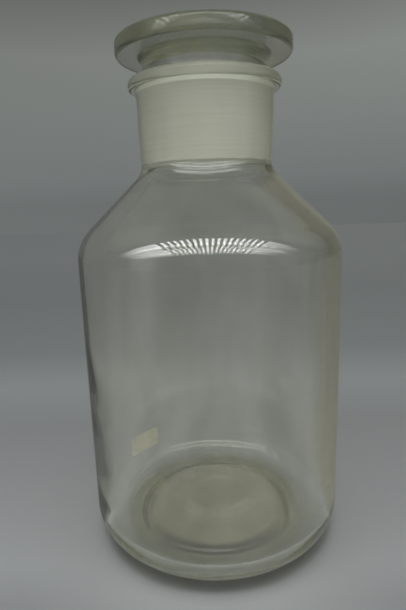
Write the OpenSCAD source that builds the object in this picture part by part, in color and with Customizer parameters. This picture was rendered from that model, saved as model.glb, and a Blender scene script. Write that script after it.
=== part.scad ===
// Wide-mouth glass jar with a ground-in disc stopper, and the blank scrap of a paper label.
// Millimetres, +Z up. The origin is the centre of the ring that the jar stands on.

/* [Body] */
// Outside diameter of the straight body
body_d = 183; // [160:1:210]
// Height of the rim above the table
jar_h = 318.5; // [280:0.5:380]
// Thickness of the glass in the body and the shoulder
wall = 6; // [4:0.1:8]
// Slope of the shoulder, in degrees from level
shoulder_slope = 44; // [35:1:55]
// Radius of the outside curve from the body to the shoulder
shoulder_r = 30; // [15:1:45]
// Radius of the outside curve from the body to the base
heel_r = 23; // [16:0.5:26]

/* [Base] */
// Thickness of the glass in the base
base_t = 8; // [5:0.5:11]
// Radius of the inside curve from the body to the base
inner_heel_r = 17; // [12:0.5:20]
// Slope of the inside of the base up to its level middle, in degrees
floor_slope = 9; // [6:0.5:12]
// Radius of the soft curves at the foot and the top of that slope
floor_r = 120; // [60:5:120]
// Width of the ring that the jar stands on
ring_w = 9.5; // [5:0.5:14]
// Height of the push-up above the table
pushup_h = 5; // [3:0.5:7]
// Radius of the tight curves at the edge of the push-up
pushup_r = 3; // [1:0.5:4]

/* [Neck] */
// Diameter of the ground joint at the rim
joint_d = 85; // [78:0.5:92]
// Length of the ground joint
joint_l = 55; // [45:1:65]
// Length of joint in which its diameter shrinks by one
joint_taper = 10; // [8:0.5:14]
// Clear glass between the ground joint and the root of the neck
neck_tail = 2.8; // [1:0.1:6]
// Thickness of the glass round the ground joint
neck_wall = 3.9; // [2.5:0.1:4.5]
// Thickness of the glass at the root of the neck
root_wall = 4.8; // [4:0.1:6]
// Radius of the outside curve from the shoulder to the neck
neck_r = 13; // [6:1:18]
// Diameter of the rim
rim_d = 102; // [98:0.2:110]
// Height of the rim's edge
rim_h = 6.5; // [5.5:0.1:9]
// Rounding of the rim's edges
rim_r = 2.6; // [1:0.1:2.7]

/* [Stopper] */
// Clearance of the plug all round in the neck
joint_gap = 0.05; // [0.02:0.01:0.2]
// Height of the ground plug that stands above the rim
plug_rise = 1.2; // [1:0.1:3]
// Length of the ground plug that reaches below the rim
plug_l = 54; // [45:1:60]
// Thickness of the glass round the hollow in the plug
plug_wall = 6; // [4:0.5:9]
// Diameter of the waist between the plug and the head
waist_d = 82; // [74:0.5:83]
// Height of the waist between the rim and the head
waist_h = 13.7; // [11:0.1:20]
// Radius of the curve from the waist to the head
waist_r = 4; // [2:0.5:6]
// Diameter of the disc-shaped head
head_d = 116; // [104:0.2:125]
// Thickness of the head
head_t = 9.8; // [7:0.1:12]
// Rounding of the head's edges
head_r = 2.4; // [1:0.1:3.4]
// Glass between the top of the head and the hollow
crown_t = 14; // [11:0.5:18]
// Radius of the curve round the top of the hollow
crown_r = 10; // [4:1:14]

/* [Label] */
// Width of the paper, measured round the body
label_w = 36; // [15:1:60]
// Height of the paper
label_h = 19; // [8:0.5:40]
// Thickness of the paper with its glue
label_t = 0.2; // [0.1:0.05:0.5]
// Height of the paper's lower edge above the table
label_z = 18.5; // [16:0.5:100]
// Middle of the paper, in degrees from +X towards +Y
label_turn = 139; // [0:1:359]

/* [Hidden] */
$fn = 128;

// Largest turn of one straight step in a rounded corner, in degrees
arc_step = 6;
// Rounding of edges that are only fire-polished or ground smooth
edge_r = 0.8;

body_radius = body_d / 2;
inside_radius = body_radius - wall;
rim_radius = rim_d / 2;
rim_z = jar_h - rim_h;
neck_root_z = jar_h - joint_l - neck_tail;
neck_root_radius = bore_radius(neck_root_z) + root_wall;
shoulder_z = neck_root_z - (body_radius - neck_root_radius) * tan(shoulder_slope);
inside_shoulder_z = shoulder_z - wall * (1 - sin(shoulder_slope)) / cos(shoulder_slope);
// Height where the inside of the shoulder meets the line of the ground joint
inside_neck_z = (inside_shoulder_z + (inside_radius - bore_radius(0)) * tan(shoulder_slope))
    / (1 + tan(shoulder_slope) / (2 * joint_taper));

// The push-up rises at 45 degrees from the inner edge of the ring
ring_radius = body_radius - heel_r - ring_w;
pushup_radius = ring_radius - pushup_h;
floor_z = pushup_h + base_t;
// Foot of the slope inside the base: its soft curve starts where the curve of the inside heel ends
floor_curve = floor_r * tan(floor_slope / 2);
floor_foot_radius = inside_radius - inner_heel_r - floor_curve - edge_r;
floor_top_radius = floor_foot_radius - pushup_h / tan(floor_slope);

plug_top_z = jar_h + plug_rise;
plug_end_z = jar_h - plug_l;
head_z = jar_h + waist_h;
top_z = head_z + head_t;
hollow_z = top_z - crown_t;

label_span = label_w / body_radius * 180 / PI;

// Radius of the ground joint in the neck at a height, and of the plug that fits it
function bore_radius(z) = joint_d / 2 - (jar_h - z) / (2 * joint_taper);
function plug_radius(z) = bore_radius(z) - joint_gap;

function unit(v) = v / norm(v);
function flat(corner) = [corner.x, corner.y];

// Points that round one corner of an outline. A corner is [radius, height, rounding].
function corner_points(before, corner, after) =
    let (
        tip = flat(corner),
        back = unit(flat(before) - tip),
        ahead = unit(flat(after) - tip),
        half_angle = acos(back * ahead) / 2,
        centre = tip + unit(back + ahead) * corner.z / sin(half_angle),
        first = tip + back * corner.z / tan(half_angle) - centre,
        start = atan2(first.y, first.x),
        turn = (180 - 2 * half_angle) * (cross(back, ahead) < 0 ? 1 : -1),
        steps = ceil(abs(turn) / arc_step)
    )
    corner.z == 0
        ? [tip]
        : [for (i = [0 : steps]) centre + corner.z * [cos(start + turn * i / steps), sin(start + turn * i / steps)]];

// A solid turned about the Z axis from the corners of its half section
module turned(corners) {
    count = len(corners);
    rotate_extrude()
        polygon([
            for (i = [0 : count - 1])
                each corner_points(corners[(i + count - 1) % count], corners[i], corners[(i + 1) % count])
        ]);
}

// Blown body with its shoulder, ground neck, flat rim and pushed-up base, all one piece of glass
module jar() {
    color("#b4bfb2", 0.6)
        turned([
            // Underside: push-up, then the ring that it stands on
            [0, pushup_h, 0],
            [pushup_radius, pushup_h, pushup_r + base_t],
            [ring_radius, 0, pushup_r],
            // Outside, from the heel up to the rim
            [body_radius, 0, heel_r],
            [body_radius, shoulder_z, shoulder_r],
            [neck_root_radius, neck_root_z, neck_r],
            [bore_radius(rim_z) + neck_wall, rim_z, edge_r],
            [rim_radius, rim_z, rim_r],
            [rim_radius, jar_h, rim_r],
            // Inside, from the ground joint down to the base
            [bore_radius(jar_h), jar_h, edge_r],
            [bore_radius(inside_neck_z), inside_neck_z, neck_r + wall],
            [inside_radius, inside_shoulder_z, shoulder_r - wall],
            [inside_radius, base_t, inner_heel_r],
            [floor_foot_radius, base_t, floor_r],
            [floor_top_radius, floor_z, floor_r],
            [0, floor_z, 0],
        ]);
}

// Pressed stopper: disc head, narrow waist and a hollow plug that is ground into the neck
module stopper() {
    color("#9fb09a", 0.7)
        turned([
            // Hollow, open underneath
            [0, hollow_z, 0],
            [plug_radius(hollow_z) - plug_wall, hollow_z, crown_r],
            [plug_radius(plug_end_z) - plug_wall, plug_end_z, edge_r],
            // Ground plug, a little taller than the rim
            [plug_radius(plug_end_z), plug_end_z, edge_r],
            [plug_radius(plug_top_z), plug_top_z, edge_r],
            // Waist and head
            [waist_d / 2, plug_top_z, edge_r / 2],
            [waist_d / 2, head_z, waist_r],
            [head_d / 2, head_z, head_r],
            [head_d / 2, top_z, head_r],
            [0, top_z, 0],
        ]);
}

// Blank scrap of paper stuck low on the outside of the body
module paper_label() {
    color("#cfcdb8")
        rotate([0, 0, label_turn - label_span / 2])
            rotate_extrude(angle = label_span)
                translate([body_radius, label_z])
                    square([label_t, label_h]);
}

jar();
stopper();
paper_label();
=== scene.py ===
"""Looks of the glass jar with its ground stopper and the scrap of label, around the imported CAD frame.

Everything is in metres in the CAD frame: +Z up, the jar's axis on Z, seen from the -Y side.
"""

import math

import bpy
from mathutils import Matrix, Vector, noise


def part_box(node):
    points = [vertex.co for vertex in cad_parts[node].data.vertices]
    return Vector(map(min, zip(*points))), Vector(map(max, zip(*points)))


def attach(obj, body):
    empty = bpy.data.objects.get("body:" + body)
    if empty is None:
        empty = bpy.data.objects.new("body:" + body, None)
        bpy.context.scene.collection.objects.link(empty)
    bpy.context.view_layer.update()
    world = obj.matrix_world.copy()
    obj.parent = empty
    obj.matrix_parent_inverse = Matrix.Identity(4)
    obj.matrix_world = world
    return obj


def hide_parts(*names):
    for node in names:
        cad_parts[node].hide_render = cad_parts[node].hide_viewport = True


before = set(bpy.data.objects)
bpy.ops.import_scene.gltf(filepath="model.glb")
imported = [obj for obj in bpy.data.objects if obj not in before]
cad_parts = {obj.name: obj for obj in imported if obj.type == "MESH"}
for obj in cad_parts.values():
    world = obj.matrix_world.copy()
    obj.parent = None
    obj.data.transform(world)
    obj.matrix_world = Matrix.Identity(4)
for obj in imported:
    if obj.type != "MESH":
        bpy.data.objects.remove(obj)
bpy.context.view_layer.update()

# Sizes that the frame gives
_, JAR_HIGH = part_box("jar")
STOPPER_LOW, STOPPER_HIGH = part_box("stopper")
LABEL_LOW, LABEL_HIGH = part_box("paper_label")
BODY_R = JAR_HIGH.x
JAR_H = JAR_HIGH.z
HEAD_R = STOPPER_HIGH.x
TOP_Z = STOPPER_HIGH.z
PLUG_END_Z = STOPPER_LOW.z

# Section of the jar
WALL = 0.006
SHOULDER_SLOPE = math.radians(44)
SHOULDER_R = 0.030
HEEL_R = 0.023
BASE_T = 0.008
INNER_HEEL_R = 0.017
FLOOR_SLOPE = math.radians(9)
FLOOR_R = 0.120
RING_W = 0.0095
PUSHUP_H = 0.005
PUSHUP_R = 0.003
JOINT_R = 0.0425
JOINT_L = 0.055
JOINT_SLOPE = 1 / 20
NECK_TAIL = 0.0028
NECK_WALL = 0.0039
ROOT_WALL = 0.0048
NECK_R = 0.013
RIM_RADIUS = 0.051
RIM_H = 0.0065
RIM_R = 0.0026
EDGE_R = 0.0008

# Heights inside the neck where the grinding starts to thin out, and where it is faint and then gone
GROUND_Z, HALF_GROUND_Z, FAINT_Z = 0.2667, 0.2637, 0.2613

# Section of the stopper
JOINT_GAP = 0.00005
PLUG_RISE = 0.0012
PLUG_WALL = 0.006
WAIST_RADIUS = 0.041
WAIST_H = 0.0137
WAIST_R = 0.004
HEAD_EDGE_R = 0.0024
CROWN_T = 0.014
CROWN_R = 0.010

# Fineness of the turned meshes
ROUND_STEPS = 224
ARC_STEP = math.radians(5)
RUN_STEP = 0.004
FINE_STEP = 0.0008

# Radius under which a point of a section counts as lying on the axis
ON_AXIS = 1e-7

# Camera, fitted to the photograph's edges
CAMERA_AT = Vector((0.0, -0.34205, 0.24057))
CAMERA_PITCH = math.radians(12.245)
CAMERA_YAW = math.radians(-0.98)
CAMERA_ROLL = math.radians(1.854)
FOCAL_PX = 477.1
FRAME_PX = 610
SENSOR = 36.0

# Finishes of the glass, as numbers of the material in a piece
CLEAR, GROUND, PAINTED_LIGHT_RIM_GROUND, HALF_GROUND, FAINT, CLOUDY, SCUFFED = range(7)

# Unevenness of the blown wall: thick on one side, thin on the other apart from two lumps low down.
# Sides are angles from +X towards +Y; a lump is its height and its thickness.
THICK_SIDE = math.radians(344.5)
THICK = 0.0015
THIN_SIDE = math.radians(195.5)
THIN = 0.0044
LUMPS = ((0.110, 0.0042), (0.061, 0.0047))
LUMP_REACH = 0.045
THICK_HALF, THICK_FADE = math.radians(16), math.radians(42)
THIN_HALF, THIN_FADE = math.radians(10), math.radians(22)

# Slow waves all over the blown wall: their height, their number in a body radius and where the noise starts
WAVE = 0.0002
WAVES = 1.7
WAVES_START = Vector((3.1, 0.4, 1.2))

# Heights between which the sides die out under the neck, the waves die out, and both set in above the base
NECK_FADE = 0.250, 0.2655
WAVE_FADE = 0.17, 0.215
BASE_FADE = 0.030, 0.048

# Place in the jar's section from which the inside is blown, and corner from which it is the base
INSIDE_FROM, BASE_FROM = 9.5, 12

# Rings in the glass of the base, round the push-up: their height, step and drift
RIPPLE = 0.00012
RIPPLE_STEP = 0.0042
RIPPLE_DRIFT = 3
DRIFTS_PER_M = 20

# Dents in the middle of the base
DENT = 0.00004
DENTS_PER_M = 250

# Radii between which the rings set in and die out, and the dents die out; heights between which both end
RINGS_IN, RINGS_OUT = (0.058, 0.064), (0.078, 0.083)
DENTS_OUT = 0.050, 0.060
ON_BASE = 0.012, 0.022

# Scrap of label: its width round the body, how far its two faces stand off the wall, and its mesh
LABEL_W = 0.036
LABEL_FACES = 0.00003, 0.00017
LABEL_COLUMNS, LABEL_ROWS = 60, 36

# Tears along its ends and its long edges: depth, waves in half a length, and where the noise starts
TORN_ENDS = 0.035, 4, 0.5
TORN_EDGES = 0.06, 5, 4.5
TEARS_APART = 3

# Wear of its corners, and the share of its half length from which it sets in
CORNER_WEAR, CORNER_FROM = 0.10, 0.8

# Glass: how strongly it bends light, and the tint of each piece as a colour and a density
GLASS_IOR = 1.52
JAR_TINT = (0.85, 0.85, 0.25), 5
STOPPER_TINT = (0.77, 0.80, 0.60), 15.5

# Floor: half its side, and how far it lies under the ring that the jar stands on
FLOOR_HALF = 4.0
FLOOR_DROP = 0.0002

# Strip lamps over the front
STRIP_X = 0.007
STRIP_Z = 0.40
STRIP_L = 1.3
STRIP_SPREAD = math.radians(150)

# Bars in the middle of a strip: half their stretch, their number in a metre, how fast that falls outwards,
# and the lit share of each
BARS_HALF = 0.178
BARS_PER_M, BARS_SPREAD = 62.2, 398
BAR_SHARE = 0.42

# Dimmer light beyond the bars: its strength where they end, the width over which it sets in, and its change
# from one end of the strip to the other
GLOW = 0.42
GLOW_EDGE = 0.001
GLOW_FIRST, GLOW_FALL = 1.3, 0.8


def bore_radius(z):
    """Radius of the ground joint in the neck at a height."""
    return JOINT_R - (JAR_H - z) * JOINT_SLOPE


def plug_radius(z):
    """Radius of the ground plug at a height."""
    return bore_radius(z) - JOINT_GAP


def corner_points(before, corner, after, step):
    """Points that round one corner of a half section, no further apart than a step."""
    tip = Vector(corner[:2])
    rounding = corner[2]
    if rounding == 0:
        return [tip]
    back = (Vector(before[:2]) - tip).normalized()
    ahead = (Vector(after[:2]) - tip).normalized()
    half = back.angle(ahead) / 2
    centre = tip + (back + ahead).normalized() * rounding / math.sin(half)
    first = tip + back * rounding / math.tan(half) - centre
    start = math.atan2(first.y, first.x)
    turn = (math.pi - 2 * half) * (1 if back.x * ahead.y - back.y * ahead.x < 0 else -1)
    steps = max(2, math.ceil(abs(turn) / ARC_STEP), math.ceil(abs(turn) * rounding / step))
    angles = [start + turn * i / steps for i in range(steps + 1)]
    return [centre + rounding * Vector((math.cos(a), math.sin(a))) for a in angles]


def half_section(corners, fine_from):
    """Points of an open outline with rounded corners and evenly divided runs, each with its run's number.

    A corner is (radius, height, rounding, finish of the run that follows it). Runs are divided finely from
    the corner with number fine_from on.
    """
    points = []
    last = len(corners) - 1
    for i, corner in enumerate(corners):
        step = FINE_STEP if i >= fine_from else RUN_STEP
        before, after = corners[max(i - 1, 0)], corners[min(i + 1, last)]
        here = corner_points(before, corner, after, step)
        if points:
            start = points[-1][0]
            run = here[0] - start
            count = max(1, math.ceil(run.length / (FINE_STEP if i > fine_from else RUN_STEP)))
            points += [(start + run * k / count, i - 1) for k in range(1, count)]
        points += [(p, i - 0.5) for p in here[:-1]] + [(here[-1], i)]
    return points


def turned(name, corners, unevenness, fine_from, finish_at):
    """Mesh object turned about Z from a half section whose ends lie on the axis.

    Each point is moved along the section's normal, out of the glass, by its unevenness. finish_at gives the
    finish of a ground face at its height.
    """
    section = half_section(corners, fine_from)
    vertices, faces, finishes, rings = [], [], [], []
    for i, (point, run) in enumerate(section):
        if point.x < ON_AXIS:
            rings.append([len(vertices)] * ROUND_STEPS)
            vertices.append((0, 0, point.y))
            continue
        rings.append(list(range(len(vertices), len(vertices) + ROUND_STEPS)))
        along = (section[i + 1][0] - section[i - 1][0]).normalized()
        for k in range(ROUND_STEPS):
            angle = 2 * math.pi * k / ROUND_STEPS
            place = point + Vector((along.y, -along.x)) * unevenness(run, point, angle)
            vertices.append((place.x * math.cos(angle), place.x * math.sin(angle), place.y))
    for (point, run), lower, upper in zip(section, rings, rings[1:]):
        finish = corners[math.ceil(run)][3]
        if finish == GROUND:
            finish = finish_at(point.y)
        for k in range(ROUND_STEPS):
            n = (k + 1) % ROUND_STEPS
            faces.append(list(dict.fromkeys((lower[k], lower[n], upper[n], upper[k]))))
            finishes.append(finish)
    return new_piece(name, vertices, faces, finishes)


def thinned(z):
    """Finish of the ground neck at a height: painted paler behind the rim as painted light, and thinning
    out at its lower end.
    """
    if z > JAR_H - RIM_H:
        return PAINTED_LIGHT_RIM_GROUND
    if z > GROUND_Z:
        return GROUND
    if z > HALF_GROUND_Z:
        return HALF_GROUND
    return FAINT if z > FAINT_Z else CLEAR


def all_ground(z):
    """Finish of the ground plug, which is the same at all heights."""
    return GROUND


def new_piece(name, vertices, faces, finishes):
    """Smooth-shaded object from plain lists of points and faces."""
    mesh = bpy.data.meshes.new(name)
    mesh.from_pydata(vertices, [], faces)
    mesh.polygons.foreach_set("material_index", finishes)
    mesh.polygons.foreach_set("use_smooth", [True] * len(faces))
    mesh.update()
    piece = bpy.data.objects.new(name, mesh)
    bpy.context.scene.collection.objects.link(piece)
    return piece


def jar_corners():
    """Half section of the jar, from the underside round the outside and down the inside."""
    root_z = JAR_H - JOINT_L - NECK_TAIL
    root_radius = bore_radius(root_z) + ROOT_WALL
    slope = math.tan(SHOULDER_SLOPE)
    shoulder_z = root_z - (BODY_R - root_radius) * slope
    inside = BODY_R - WALL
    inside_shoulder_z = shoulder_z - WALL * (1 - math.sin(SHOULDER_SLOPE)) / math.cos(SHOULDER_SLOPE)
    inside_neck_z = (inside_shoulder_z + (inside - bore_radius(0)) * slope) / (1 + slope * JOINT_SLOPE)
    rim_z = JAR_H - RIM_H
    ring_radius = BODY_R - HEEL_R - RING_W
    floor_z = PUSHUP_H + BASE_T
    foot_radius = inside - INNER_HEEL_R - FLOOR_R * math.tan(FLOOR_SLOPE / 2) - EDGE_R
    middle_radius = foot_radius - PUSHUP_H / math.tan(FLOOR_SLOPE)
    return [
        (0, PUSHUP_H, 0, CLEAR),
        (ring_radius - PUSHUP_H, PUSHUP_H, PUSHUP_R + BASE_T, SCUFFED),
        (ring_radius, 0, PUSHUP_R, SCUFFED),
        (BODY_R, 0, HEEL_R, CLEAR),
        (BODY_R, shoulder_z, SHOULDER_R, CLEAR),
        (root_radius, root_z, NECK_R, CLEAR),
        (bore_radius(rim_z) + NECK_WALL, rim_z, EDGE_R, CLEAR),
        (RIM_RADIUS, rim_z, RIM_R, CLEAR),
        (RIM_RADIUS, JAR_H, RIM_R, CLEAR),
        (bore_radius(JAR_H), JAR_H, EDGE_R, GROUND),
        (bore_radius(inside_neck_z), inside_neck_z, NECK_R + WALL, GROUND),
        (inside, inside_shoulder_z, SHOULDER_R - WALL, CLEAR),
        (inside, BASE_T, INNER_HEEL_R, CLEAR),
        (foot_radius, BASE_T, FLOOR_R, CLOUDY),
        (middle_radius, floor_z, FLOOR_R, CLOUDY),
        (0, floor_z, 0, CLOUDY),
    ]


def stopper_corners():
    """Half section of the stopper, from the hollow round the plug, the waist and the head."""
    plug_top_z = JAR_H + PLUG_RISE
    head_z = JAR_H + WAIST_H
    hollow_z = TOP_Z - CROWN_T
    return [
        (0, hollow_z, 0, CLEAR),
        (plug_radius(hollow_z) - PLUG_WALL, hollow_z, CROWN_R, CLEAR),
        (plug_radius(PLUG_END_Z) - PLUG_WALL, PLUG_END_Z, EDGE_R, CLEAR),
        (plug_radius(PLUG_END_Z), PLUG_END_Z, EDGE_R, GROUND),
        (plug_radius(plug_top_z), plug_top_z, EDGE_R, CLEAR),
        (WAIST_RADIUS, plug_top_z, EDGE_R / 2, CLEAR),
        (WAIST_RADIUS, head_z, WAIST_R, CLEAR),
        (HEAD_R, head_z, HEAD_EDGE_R, CLEAR),
        (HEAD_R, TOP_Z, HEAD_EDGE_R, CLEAR),
        (0, TOP_Z, 0, CLEAR),
    ]


def ease(low, high, value):
    """Smooth step from 0 at low to 1 at high."""
    share = min(1.0, max(0.0, (value - low) / (high - low)))
    return share * share * (3 - 2 * share)


def beside(angle, side, half, fade):
    """1 near a side of the jar, fading to 0 away from it."""
    away = abs((angle - side + math.pi) % (2 * math.pi) - math.pi)
    return 1 - ease(half, half + fade, away)


def wall_change(angle, z):
    """Extra thickness of the blown wall; it dies out at the base and below the neck."""
    below_neck = 1 - ease(*NECK_FADE, z)
    right = THICK * below_neck
    left = -THIN * below_neck
    for height, thickness in LUMPS:
        left += thickness * max(0, 1 - ((z - height) / LUMP_REACH) ** 2) ** 2
    around = Vector((math.cos(angle), math.sin(angle), z / BODY_R))
    wavy = noise.noise(around * WAVES + WAVES_START) * WAVE * (1 - ease(*WAVE_FADE, z))
    sides = right * beside(angle, THICK_SIDE, THICK_HALF, THICK_FADE)
    sides += left * beside(angle, THIN_SIDE, THIN_HALF, THIN_FADE)
    return (sides + wavy) * ease(*BASE_FADE, z)


def base_change(radius, angle):
    """Rise and fall of the inside of the base: rings towards the heel, dents in the middle."""
    flat = Vector((radius * math.cos(angle), radius * math.sin(angle), 0))
    drift = noise.noise(flat * DRIFTS_PER_M)
    rings = math.sin(2 * math.pi * radius / RIPPLE_STEP + drift * RIPPLE_DRIFT) * RIPPLE
    dents = noise.noise(flat * DENTS_PER_M) * DENT
    rings *= ease(*RINGS_IN, radius) * (1 - ease(*RINGS_OUT, radius))
    return rings + dents * (1 - ease(*DENTS_OUT, radius))


def jar_unevenness(run, point, angle):
    """Extra thickness of the glass at a point: the blown inside is uneven, the outside stays exact."""
    if run < INSIDE_FROM:
        return 0.0
    on_base = 1 - ease(*ON_BASE, point.y)
    return wall_change(angle, point.y) + on_base * base_change(point.x, angle)


def even(run, point, angle):
    """Unevenness of the pressed stopper, which has none."""
    return 0.0


def torn(depth, waves, start, along, across):
    """Share of its full reach at which the paper ends, torn in waves along an edge."""
    return 1 - depth * (1 + noise.noise(Vector((along * waves, math.copysign(TEARS_APART, across), start))))


def label_piece():
    """Scrap of paper that follows the wall, with a slightly torn outline."""
    turn = math.atan2(LABEL_LOW.y + LABEL_HIGH.y, LABEL_LOW.x + LABEL_HIGH.x)
    half = LABEL_W / 2 / BODY_R
    middle_z, half_h = (LABEL_LOW.z + LABEL_HIGH.z) / 2, (LABEL_HIGH.z - LABEL_LOW.z) / 2
    columns, rows = LABEL_COLUMNS, LABEL_ROWS
    vertices, faces = [], []
    for radius in (BODY_R + off_wall for off_wall in LABEL_FACES):
        for i in range(columns + 1):
            for j in range(rows + 1):
                u, v = 2 * i / columns - 1, 2 * j / rows - 1
                corner = 1 - CORNER_WEAR * ease(CORNER_FROM, 1.0, abs(u)) * ease(CORNER_FROM, 1.0, abs(v))
                angle = turn - u * half * torn(*TORN_ENDS, v, u) * corner
                z = middle_z + v * half_h * torn(*TORN_EDGES, u, v) * corner
                vertices.append((radius * math.cos(angle), radius * math.sin(angle), z))
    side = (columns + 1) * (rows + 1)

    def at(i, j):
        return i * (rows + 1) + j

    for i in range(columns):
        for j in range(rows):
            quad = (at(i, j), at(i, j + 1), at(i + 1, j + 1), at(i + 1, j))
            faces.append(quad)
            faces.append(tuple(side + k for k in reversed(quad)))
    edge = [at(i, 0) for i in range(columns)] + [at(columns, j) for j in range(rows)]
    edge += [at(i, rows) for i in range(columns, 0, -1)] + [at(0, j) for j in range(rows, 0, -1)]
    for a, b in zip(edge, edge[1:] + edge[:1]):
        faces.append((a, b, side + b, side + a))
    return new_piece("paper_label_scrap", vertices, faces, [0] * len(faces))


def add(tree, kind, **settings):
    """New node of a kind, with its properties set."""
    node = tree.nodes.new("ShaderNode" + kind)
    for name, value in settings.items():
        setattr(node, name, value)
    return node


def feed(tree, socket, value):
    """Give an input either a number, a colour or another node's output."""
    if isinstance(value, bpy.types.NodeSocket):
        tree.links.new(value, socket)
    else:
        socket.default_value = value


def maths(tree, operation, *values):
    """Result of a Math node with these inputs."""
    node = add(tree, "Math", operation=operation)
    for socket, value in zip(node.inputs, values):
        feed(tree, socket, value)
    return node.outputs[0]


def ramp(tree, factor, stops):
    """Colour ramp with (position, colour) stops."""
    node = add(tree, "ValToRGB")
    elements = node.color_ramp.elements
    elements[0].position, elements[1].position = stops[0][0], stops[-1][0]
    for position, _ in stops[1:-1]:
        elements.new(position)
    for element, (_, colour) in zip(elements, stops):
        element.color = (*colour, 1)
    feed(tree, node.inputs["Fac"], factor)
    return node.outputs["Color"]


def levels(tree, factor, stops):
    """Colour ramp through greys, with (position, value) stops."""
    return ramp(tree, factor, [(position, grey(value)) for position, value in stops])


def blend(tree, factor, a, b):
    """Colour a where the factor is 0, b where it is 1, by the node's sockets for colours."""
    node = add(tree, "Mix", data_type="RGBA")
    feed(tree, node.inputs[0], factor)
    feed(tree, node.inputs[6], a)
    feed(tree, node.inputs[7], b)
    return node.outputs[2]


def texture(tree, place, scale, detail=3.0, stretch=(1, 1, 1)):
    """Noise over the object, with its own stretch along each axis."""
    mapping = add(tree, "Mapping")
    mapping.inputs["Scale"].default_value = stretch
    tree.links.new(place, mapping.inputs["Vector"])
    node = add(tree, "TexNoise")
    node.inputs["Scale"].default_value = scale
    node.inputs["Detail"].default_value = detail
    tree.links.new(mapping.outputs["Vector"], node.inputs["Vector"])
    return node.outputs["Fac"]


def grey(value, tint=(1.0, 1.0, 1.0)):
    """Colour of a value, neutral or with a tint."""
    return tuple(value * t for t in tint)


def new_material(name):
    """Material, its node tree, the inputs of its shader and the place on the object."""
    material = bpy.data.materials.new(name)
    material.use_nodes = True
    tree = material.node_tree
    place = add(tree, "TexCoord").outputs["Object"]
    return material, tree, tree.nodes["Principled BSDF"].inputs, place


def absorb(tree, colour, density):
    """Tint that grows with the thickness of the glass."""
    absorption = add(tree, "VolumeAbsorption")
    absorption.inputs["Color"].default_value = (*colour, 1)
    absorption.inputs["Density"].default_value = density
    tree.links.new(absorption.outputs["Volume"], tree.nodes["Material Output"].inputs["Volume"])


def clear_glass(name, colour, density, rough, clarity):
    """Smooth glass with faint smudges; its tint comes from its thickness."""
    material, tree, shader, place = new_material(name)
    smudge = texture(tree, place, scale=28, detail=4, stretch=(1, 1, 0.4))
    tone = ramp(tree, smudge, [(0.34, (0.885, 0.895, 0.85)), (0.58, (1.0, 1.0, 0.972))])
    cells = add(tree, "TexVoronoi")
    cells.inputs["Scale"].default_value = 36
    tree.links.new(place, cells.inputs["Vector"])
    speck_size, speck_depth, speck_colour = 0.03, 0.6, (0.25, 0.24, 0.18, 1)
    speck = maths(tree, "LESS_THAN", cells.outputs["Distance"], speck_size)
    speck = maths(tree, "MULTIPLY", speck, speck_depth)
    feed(tree, shader["Base Color"], blend(tree, speck, tone, speck_colour))
    feed(tree, shader["Roughness"], maths(tree, "MULTIPLY", smudge, rough))
    shader["IOR"].default_value = GLASS_IOR
    shader["Transmission Weight"].default_value = clarity
    shader["Coat Weight"].default_value = 0.6
    shader["Coat Roughness"].default_value = 0.07
    shader["Coat IOR"].default_value = 1.5
    absorb(tree, colour, density)
    return material


def cloudy_glass(name, colour, density):
    """Glass under a thin, blotchy yellowish film, as on the inside of the base."""
    material, tree, shader, place = new_material(name)
    patch = texture(tree, place, scale=45, detail=8)
    tone = ramp(tree, patch, [(0.35, (0.82, 0.80, 0.73)), (0.65, (1.0, 0.99, 0.955))])
    feed(tree, shader["Base Color"], tone)
    feed(tree, shader["Roughness"], maths(tree, "MULTIPLY", patch, 0.05))
    shader["IOR"].default_value = GLASS_IOR
    shader["Transmission Weight"].default_value = 0.97
    absorb(tree, colour, density)
    return material


def scuffed_glass(name, colour, density):
    """Glass that standing and sliding have worn dull, as round the ring."""
    material, tree, shader, place = new_material(name)
    wear = texture(tree, place, scale=120, detail=5)
    tone = ramp(tree, wear, [(0.35, (0.70, 0.71, 0.60)), (0.65, (0.84, 0.85, 0.74))])
    feed(tree, shader["Base Color"], tone)
    smooth, worn = 0.1, 0.2
    feed(tree, shader["Roughness"], maths(tree, "MULTIPLY_ADD", wear, worn, smooth))
    shader["IOR"].default_value = GLASS_IOR
    shader["Transmission Weight"].default_value = 0.98
    absorb(tree, colour, density)
    return material


def raise_surface(tree, shader, height, distance):
    """Fine relief on a surface, of a height in metres where the input is 1."""
    bump = add(tree, "Bump")
    bump.inputs["Distance"].default_value = distance
    feed(tree, bump.inputs["Height"], height)
    feed(tree, shader["Normal"], bump.outputs["Normal"])


def ground_glass(name, colour, density, transmission, tone):
    """Frosted surface of a tone, with faint grinding marks round it."""
    material, tree, shader, place = new_material(name)
    rings = texture(tree, place, scale=60, detail=3, stretch=(0.25, 0.25, 14))
    patch = texture(tree, place, scale=40, detail=3)
    ring_share, patch_share = 0.6, 0.4
    both = maths(tree, "MULTIPLY_ADD", rings, ring_share, maths(tree, "MULTIPLY", patch, patch_share))
    dulling = 0.88
    pale, dull = grey(tone, (0.97, 1.0, 0.88)), grey(tone * dulling, (0.965, 1.0, 0.87))
    feed(tree, shader["Base Color"], ramp(tree, both, [(0.3, dull), (0.7, pale)]))
    shader["Roughness"].default_value = 0.6
    shader["IOR"].default_value = GLASS_IOR
    shader["Transmission Weight"].default_value = transmission
    shader["Specular IOR Level"].default_value = 0.0
    absorb(tree, colour, density)
    return material


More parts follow.
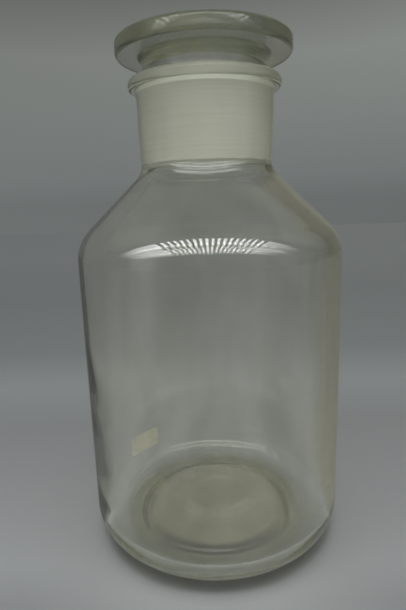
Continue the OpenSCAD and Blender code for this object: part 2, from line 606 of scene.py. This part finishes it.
def aged_paper():
    """Matte, stained paper with fine fibres."""
    material, tree, shader, place = new_material("label_paper")
    stain = texture(tree, place, scale=130, detail=4)
    fibre = texture(tree, place, scale=900, detail=2, stretch=(1, 1, 2))
    tone = ramp(tree, stain, [(0.3, (0.68, 0.67, 0.585)), (0.7, (0.79, 0.785, 0.695))])
    mottle = maths(tree, "MULTIPLY", fibre, 0.25)
    feed(tree, shader["Base Color"], blend(tree, mottle, tone, (0.42, 0.40, 0.32, 1)))
    shader["Roughness"].default_value = 0.85
    raise_surface(tree, shader, fibre, distance=0.0002)
    return material


def make_camera():
    """Camera at its fitted place, turned by its yaw, pitch and roll."""
    forward = Vector((
        math.sin(CAMERA_YAW) * math.cos(CAMERA_PITCH),
        math.cos(CAMERA_YAW) * math.cos(CAMERA_PITCH),
        -math.sin(CAMERA_PITCH),
    ))
    level = Vector((math.cos(CAMERA_YAW), -math.sin(CAMERA_YAW), 0))
    upright = level.cross(forward)
    right = level * math.cos(CAMERA_ROLL) - upright * math.sin(CAMERA_ROLL)
    up = level * math.sin(CAMERA_ROLL) + upright * math.cos(CAMERA_ROLL)
    data = bpy.data.cameras.new("camera")
    data.sensor_width = SENSOR
    data.lens = FOCAL_PX / FRAME_PX * SENSOR
    camera = bpy.data.objects.new("camera", data)
    turn = Matrix((right, up, -forward)).transposed().to_4x4()
    camera.matrix_world = Matrix.Translation(CAMERA_AT) @ turn
    bpy.context.scene.collection.objects.link(camera)
    bpy.context.scene.camera = camera


def floor_tone_painted_light_and_shade(tree, y, radius):
    """Pale grey of the floor, painted lighter and darker from front to back, with a painted band of light
    some way behind the jar.

    Painted shade makes it a little dimmer in front of the jar, away from its heel.
    """
    near, far = (0.95, 1.0, 1.0), (0.92, 1.0, 1.0)
    # Painted light and shade: the values rise to a pale band at 0.27 behind the jar and fall off beyond it
    stops = [
        (-0.10, 0.243, near), (-0.055, 0.228, near), (0.15, 0.214, near), (0.27, 0.262, far),
        (0.42, 0.212, far), (0.9, 0.2, far), (1.8, 0.219, far),
    ]
    first, last = stops[0][0], stops[-1][0]
    share = maths(tree, "DIVIDE", maths(tree, "SUBTRACT", y, first), last - first)
    tones = [((at - first) / (last - first), grey(value, tint)) for at, value, tint in stops]
    tone = ramp(tree, share, tones)
    # Painted shade: darker towards the front corners, away from the heel
    front = levels(tree, maths(tree, "MULTIPLY", y, -1), [(0.06, 0), (0.095, 1)])
    away = levels(tree, radius, [(0.10, 0), (0.12, 0.15), (0.15, 0.26)])
    return blend(tree, maths(tree, "MULTIPLY", front, away), tone, (0, 0, 0, 1))


def floor_painted_light_and_shade_under_jar(tree, y, radius, path, tone):
    """Floor close to the jar: a painted contact shadow round its heel when seen directly.

    Through the glass it has painted light under the push-up, and a painted shadow in front, round the ring.
    """
    # pale is painted light; the two dark colours are painted shadows
    pale, painted_gap_shadow, painted_heel_shadow = (0.224, 0.224, 0.208, 1), (0.01, 0.01, 0.0, 1), (0.015, 0.012, 0.0, 1)
    # Painted light: a paler floor under the push-up, seen only through the glass
    inside = levels(tree, radius, [(0.056, 1), (0.064, 0)])
    inside = maths(tree, "MULTIPLY", inside, path["Is Transmission Ray"])
    through = blend(tree, inside, tone, pale)
    # Painted shadow in the gap in front, round the ring, seen through the glass
    front = levels(tree, maths(tree, "MULTIPLY", y, -1), [(0.02, 0), (0.05, 1)])
    gap_shadow_mask = levels(tree, radius, [
        (0.040, 0), (0.046, 1), (0.055, 1), (0.060, 0.4), (0.084, 0.4), (0.090, 0),
    ])
    through = blend(tree, maths(tree, "MULTIPLY", front, gap_shadow_mask), through, painted_gap_shadow)
    # Painted contact shadow round the heel, for camera rays only
    painted_contact_shadow = levels(tree, radius, [(0.078, 0.68), (0.0845, 0.60), (0.0895, 0.16), (0.095, 0)])
    return blend(tree, path["Is Camera Ray"], through, blend(tree, painted_contact_shadow, tone, painted_heel_shadow))


def floor_in_mirror(tree, x, y):
    """Tone of the floor in mirrored rays, by the direction in which they leave the side of the body."""
    beyond = maths(tree, "MAXIMUM", maths(tree, "SUBTRACT", maths(tree, "ABSOLUTE", x), BODY_R), 0.0)
    aside = maths(tree, "MULTIPLY", maths(tree, "SIGN", x), beyond)
    back, dim, front, panel = 0.19, 0.10, 0.22, 0.31
    stops = [
        (-169, back), (-162, dim), (-98, dim), (-88, front), (-72, front), (-67, panel), (-50, panel),
        (-42, front), (60, front), (67, panel), (81, panel), (88, front), (110, back),
    ]
    before_axis = BODY_R / 4
    return all_round(tree, aside, maths(tree, "ADD", y, before_axis), stops)


def make_floor():
    """Wide level floor that the jar stands on."""
    mesh = bpy.data.meshes.new("floor")
    sides = ((-1, -1), (1, -1), (1, 1), (-1, 1))
    corners = [(across * FLOOR_HALF, along * FLOOR_HALF, -FLOOR_DROP) for across, along in sides]
    mesh.from_pydata(corners, [], [(0, 1, 2, 3)])
    floor = bpy.data.objects.new("floor", mesh)
    bpy.context.scene.collection.objects.link(floor)
    material, tree, shader, place = new_material("floor")
    split = add(tree, "SeparateXYZ")
    tree.links.new(place, split.inputs["Vector"])
    x, y = split.outputs["X"], split.outputs["Y"]
    path = add(tree, "LightPath").outputs
    length = add(tree, "VectorMath", operation="LENGTH")
    tree.links.new(place, length.inputs[0])
    radius = length.outputs["Value"]
    shade = floor_painted_light_and_shade_under_jar(tree, y, radius, path, floor_tone_painted_light_and_shade(tree, y, radius))
    mirrored = maths(tree, "GREATER_THAN", path["Glossy Depth"], 0.5)
    shade = blend(tree, mirrored, shade, floor_in_mirror(tree, x, y))
    feed(tree, shader["Base Color"], shade)
    shader["Roughness"].default_value = 0.6
    shader["Specular IOR Level"].default_value = 0.2
    mesh.materials.append(material)


def backdrop(tree, x, z):
    """Plain grey behind the jar, a little paler at some height, and more so on the right."""
    stops = [
        (0.0, (0.1455, 0.158, 0.156)),
        (0.05, (0.170, 0.186, 0.184)),
        (0.26, (0.216, 0.230, 0.217)),
        (0.37, (0.137, 0.144, 0.131)),
    ]
    tone = ramp(tree, z, stops)
    even_height, highest, slant = 0.07, 0.3, 1.25
    height = maths(tree, "SUBTRACT", maths(tree, "MINIMUM", z, highest), even_height)
    tilt = maths(tree, "MULTIPLY_ADD", maths(tree, "MULTIPLY", x, height), slant, 1.0)
    scaled = add(tree, "VectorMath", operation="SCALE")
    feed(tree, scaled.inputs[0], tone)
    feed(tree, scaled.inputs["Scale"], tilt)
    return scaled.outputs["Vector"]


def make_world():
    """Even light all round, a plain grey backdrop, and darker sides for the glass to reflect."""
    world = bpy.data.worlds.new("world")
    bpy.context.scene.world = world
    world.use_nodes = True
    world.cycles.sampling_method = "NONE"
    tree = world.node_tree
    towards = add(tree, "SeparateXYZ")
    tree.links.new(add(tree, "TexCoord").outputs["Generated"], towards.inputs["Vector"])
    x, y, z = (towards.outputs[axis] for axis in "XYZ")
    seen = backdrop(tree, x, z)
    above = levels(tree, z, [(0.55, 0), (0.7, 1)])
    ceiling = (0.12, 0.125, 0.122, 1)
    room = blend(tree, above, room_sides(tree, x, y), ceiling)
    path = add(tree, "LightPath").outputs
    beside_backdrop = levels(tree, y, [(0.30, 1), (0.55, 0)])
    bent = maths(tree, "MULTIPLY", path["Is Transmission Ray"], beside_backdrop)
    mirrored = maths(tree, "MAXIMUM", maths(tree, "GREATER_THAN", path["Glossy Depth"], 0.5), bent)
    straight = maths(tree, "MAXIMUM", path["Is Camera Ray"], path["Is Glossy Ray"])
    straight = maths(tree, "MAXIMUM", straight, path["Is Transmission Ray"])
    straight = maths(tree, "MULTIPLY", straight, maths(tree, "LESS_THAN", path["Diffuse Depth"], 0.5))
    open_light, through_glass = (0.85, 0.85, 0.85, 1), (0.76, 0.76, 0.74, 1)
    ambient = blend(tree, path["Is Transmission Ray"], open_light, through_glass)
    colour = blend(tree, straight, ambient, blend(tree, mirrored, seen, room))
    feed(tree, tree.nodes["Background"].inputs["Color"], colour)


def room_sides(tree, x, y):
    """What the glass mirrors of the room: a pale wall behind, dim sides with one pale panel each."""
    back, front, left, right, right_back = 0.19, 0.15, 0.105, 0.085, 0.12
    left_panel, right_panel = 0.35, 0.30
    stops = [
        (-169, back), (-162, left), (-72, left), (-67, left_panel), (-50, left_panel), (-42, front),
        (60, front), (66, right_panel), (72, right_panel), (77, right), (125, right),
        (133, right_back), (146, right_back), (154, back),
    ]
    return all_round(tree, x, y, stops)


def all_round(tree, x, y, stops):
    """Grey by direction, from stops of degrees to the right of the front and a value; warmer far right."""
    turn = maths(tree, "ARCTAN2", x, maths(tree, "MULTIPLY", y, -1))
    share = maths(tree, "MULTIPLY_ADD", turn, 0.5 / math.pi, 0.5)
    cool, warm, warm_from = (0.95, 1.0, 0.98), (1.03, 1.03, 0.86), 100
    tones = [(degrees, grey(value, warm if degrees > warm_from else cool)) for degrees, value in stops]
    return ramp(tree, share, [(degrees / 360 + 0.5, tone) for degrees, tone in tones])


def strip_lamp(name, y, width, energy):
    """Straight strip over the front: bright bars in its middle, dimmer light towards its ends."""
    data = bpy.data.lights.new(name, "AREA")
    data.shape = "RECTANGLE"
    data.size, data.size_y = STRIP_L, width
    data.energy = energy
    data.spread = STRIP_SPREAD
    lamp = bpy.data.objects.new(name, data)
    lamp.location = (STRIP_X, y, STRIP_Z)
    lamp.visible_camera = False
    bpy.context.scene.collection.objects.link(lamp)
    data.use_nodes = True
    tree = data.node_tree
    split = add(tree, "SeparateXYZ")
    tree.links.new(add(tree, "NewGeometry").outputs["Parametric"], split.inputs["Vector"])
    from_middle = maths(tree, "MULTIPLY", maths(tree, "SUBTRACT", split.outputs["X"], 0.5), STRIP_L)
    spread = maths(tree, "MULTIPLY", maths(tree, "MULTIPLY", from_middle, from_middle), BARS_SPREAD)
    count = maths(tree, "MULTIPLY", from_middle, maths(tree, "SUBTRACT", BARS_PER_M, spread))
    bar = maths(tree, "LESS_THAN", maths(tree, "FRACT", count), BAR_SHARE)
    away = maths(tree, "ABSOLUTE", from_middle)
    bar = maths(tree, "MULTIPLY", bar, maths(tree, "LESS_THAN", away, BARS_HALF))
    glow = levels(tree, away, [(BARS_HALF - GLOW_EDGE, 0), (BARS_HALF, GLOW), (STRIP_L / 2, 0)])
    fall = maths(tree, "MULTIPLY", split.outputs["X"], GLOW_FALL)
    glow = maths(tree, "MULTIPLY", glow, maths(tree, "SUBTRACT", GLOW_FIRST, fall))
    feed(tree, tree.nodes["Emission"].inputs["Strength"], maths(tree, "ADD", bar, glow))
    return data


make_camera()
make_floor()
make_world()
strip_lamp("near_strip", y=-0.1725, width=0.059, energy=2.6)
far_strip = strip_lamp("far_strip", y=-0.27, width=0.058, energy=3.0)
far_strip.use_shadow = False

jar = turned("jar_glass", jar_corners(), jar_unevenness, BASE_FROM, thinned)
stopper = turned("stopper_glass", stopper_corners(), even, len(stopper_corners()), all_ground)
label = label_piece()
label.data.materials.append(aged_paper())
for piece, node, slot in (
    (jar, "jar", "jar_glass"), (stopper, "stopper", "stopper_glass"), (label, "paper_label", "label_paper"),
):
    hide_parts(node)
    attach(piece, "root")
for material in (
    clear_glass("jar_clear", *JAR_TINT, rough=0.02, clarity=0.988),
    ground_glass("jar_ground", *JAR_TINT, transmission=0.0, tone=0.62),
    # Painted light: the ground behind the rim is a paler copy of the neck's ground finish
    ground_glass("jar_rim_ground_painted_light", *JAR_TINT, transmission=0.0, tone=0.82),
    ground_glass("jar_half_ground", *JAR_TINT, transmission=0.5, tone=0.61),
    ground_glass("jar_faint_ground", *JAR_TINT, transmission=0.8, tone=0.61),
    cloudy_glass("jar_cloudy", *JAR_TINT),
    scuffed_glass("jar_scuffed", *JAR_TINT),
):
    jar.data.materials.append(material)
for material in (
    clear_glass("stopper_clear", *STOPPER_TINT, rough=0.36, clarity=0.97),
    ground_glass("stopper_ground", *STOPPER_TINT, transmission=0.0, tone=0.28),
):
    stopper.data.materials.append(material)

scene = bpy.context.scene
scene.view_settings.view_transform = "Standard"
scene.cycles.max_bounces = 32
scene.cycles.transmission_bounces = 32
scene.cycles.glossy_bounces = 16
scene.cycles.sample_clamp_direct = 8
scene.cycles.sample_clamp_indirect = 8
